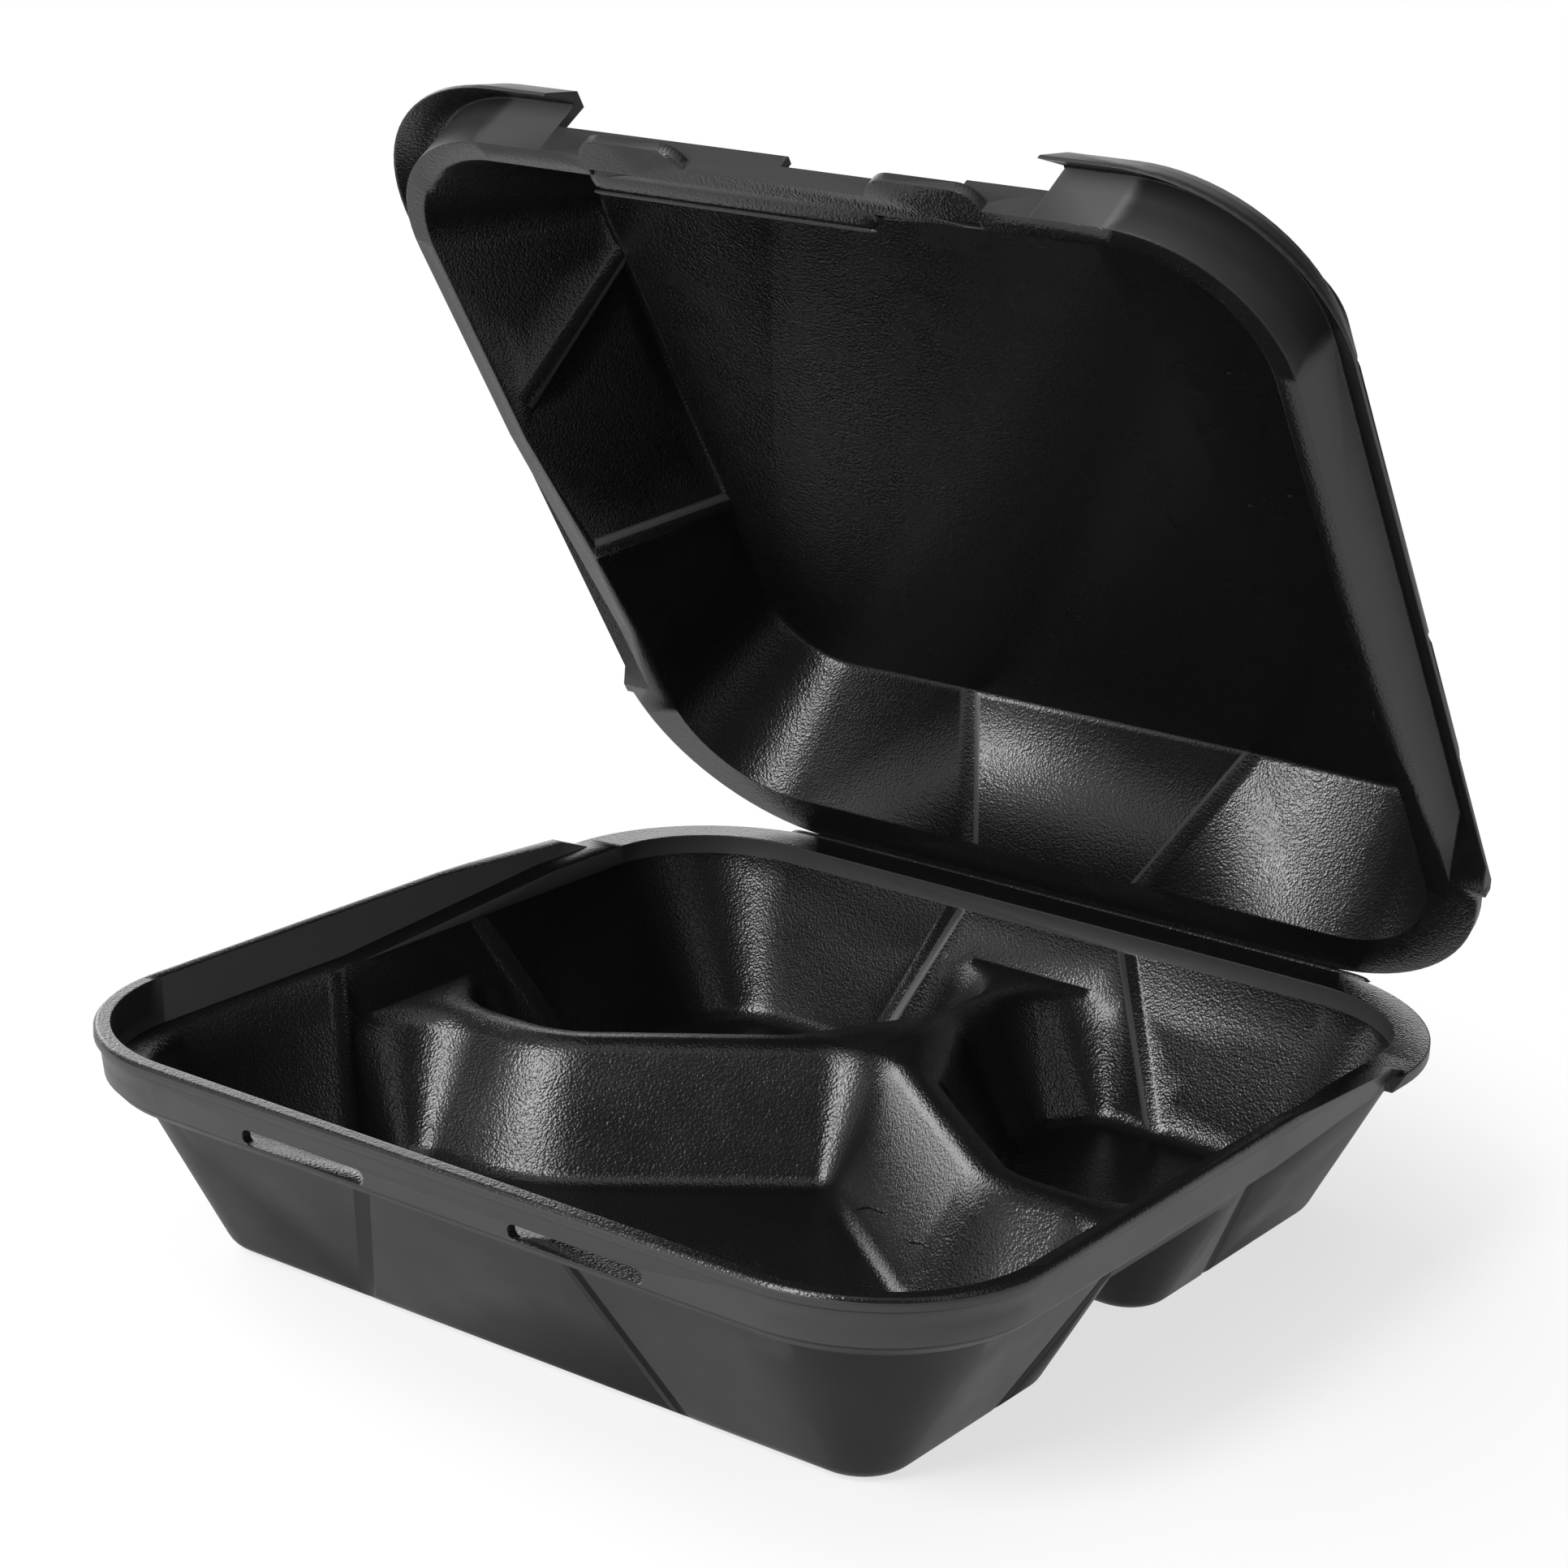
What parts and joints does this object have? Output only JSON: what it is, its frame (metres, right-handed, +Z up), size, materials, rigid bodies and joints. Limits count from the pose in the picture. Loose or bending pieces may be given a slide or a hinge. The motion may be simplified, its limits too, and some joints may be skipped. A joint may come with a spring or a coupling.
{
  "type": "foam clamshell container",
  "caption": "Black hinged lid foam food container, square with rounded corners, a wavy divider in the tray and a lid with locking tabs.",
  "frame": {"origin": "on the resting plane, under the middle of the tray's width, where the tray's cavity is centred front to back", "axes": "+X to the right across the hinge, +Y from the front lip to the hinge, +Z up"},
  "size_m": [0.239, 0.2507, 0.2444],
  "materials": {
    "foam": "satin black foam, laminated and glossier inside"
  },
  "bodies": {
    "tray": {"tray": "foam"},
    "lid": {"lid": "foam"}
  },
  "joints": [
    {"name": "lid_hinge", "type": "hinge", "parent": "tray", "child": "lid", "pos_m": [0, 0.11674, 0.04665], "axis": [-1, 0, 0], "range_deg": [-55.67, 124.33]}
  ]
}
